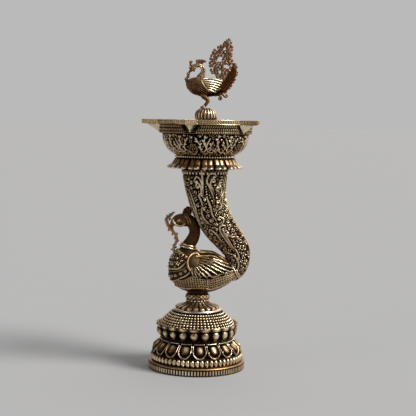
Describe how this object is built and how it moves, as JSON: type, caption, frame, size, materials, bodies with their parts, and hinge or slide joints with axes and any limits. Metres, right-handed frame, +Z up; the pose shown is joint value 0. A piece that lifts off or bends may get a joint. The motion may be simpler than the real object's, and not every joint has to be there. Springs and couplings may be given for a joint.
{
  "type": "oil lamp",
  "caption": "Cast brass oil lamp: a peacock on a lotus pedestal whose tail sweeps up as a column, carrying a spouted oil bowl with a small peacock finial.",
  "frame": {"origin": "centre of the foot's underside", "axes": "+Z up; -X is the way both peacocks face; the plane y = 0 is the plane of symmetry of both birds"},
  "size_m": [0.1195, 0.1222, 0.3317],
  "materials": {
    "antique_brass": "aged, dark in the recesses and rubbed bright on the high points",
    "bright_brass": "rubbed and polished",
    "dark_brass": "dark coppery brown patina",
    "steel": "plain threaded steel"
  },
  "bodies": {
    "stand": {"lotus_base": "antique_brass", "beaded_dome": "antique_brass", "lotus_cushion": "bright_brass", "stem_collar": "antique_brass", "tie_rod": "steel", "tie_washer": "steel", "tie_nut": "steel", "peacock_body": "antique_brass", "wing_right": "bright_brass", "wing_left": "bright_brass", "peacock_neck": "dark_brass", "neck_collar": "bright_brass", "beak_vine": "dark_brass", "head_crest": "dark_brass", "tail_column": "antique_brass", "petal_skirt": "bright_brass", "rope_ring": "antique_brass", "bowl_stud": "steel"},
    "bowl": {"oil_bowl": "antique_brass"},
    "finial": {"finial_knob": "antique_brass", "finial_peacock": "antique_brass", "finial_vine": "dark_brass", "finial_crest": "dark_brass", "finial_tail": "dark_brass", "finial_stud": "steel"}
  },
  "joints": [
    {"name": "bowl_lift", "type": "slide", "parent": "stand", "child": "bowl", "axis": [0, 0, 1], "range_m": [0, 0.015]},
    {"name": "finial_lift", "type": "slide", "parent": "bowl", "child": "finial", "axis": [0, 0, 1], "range_m": [0, 0.022]}
  ]
}
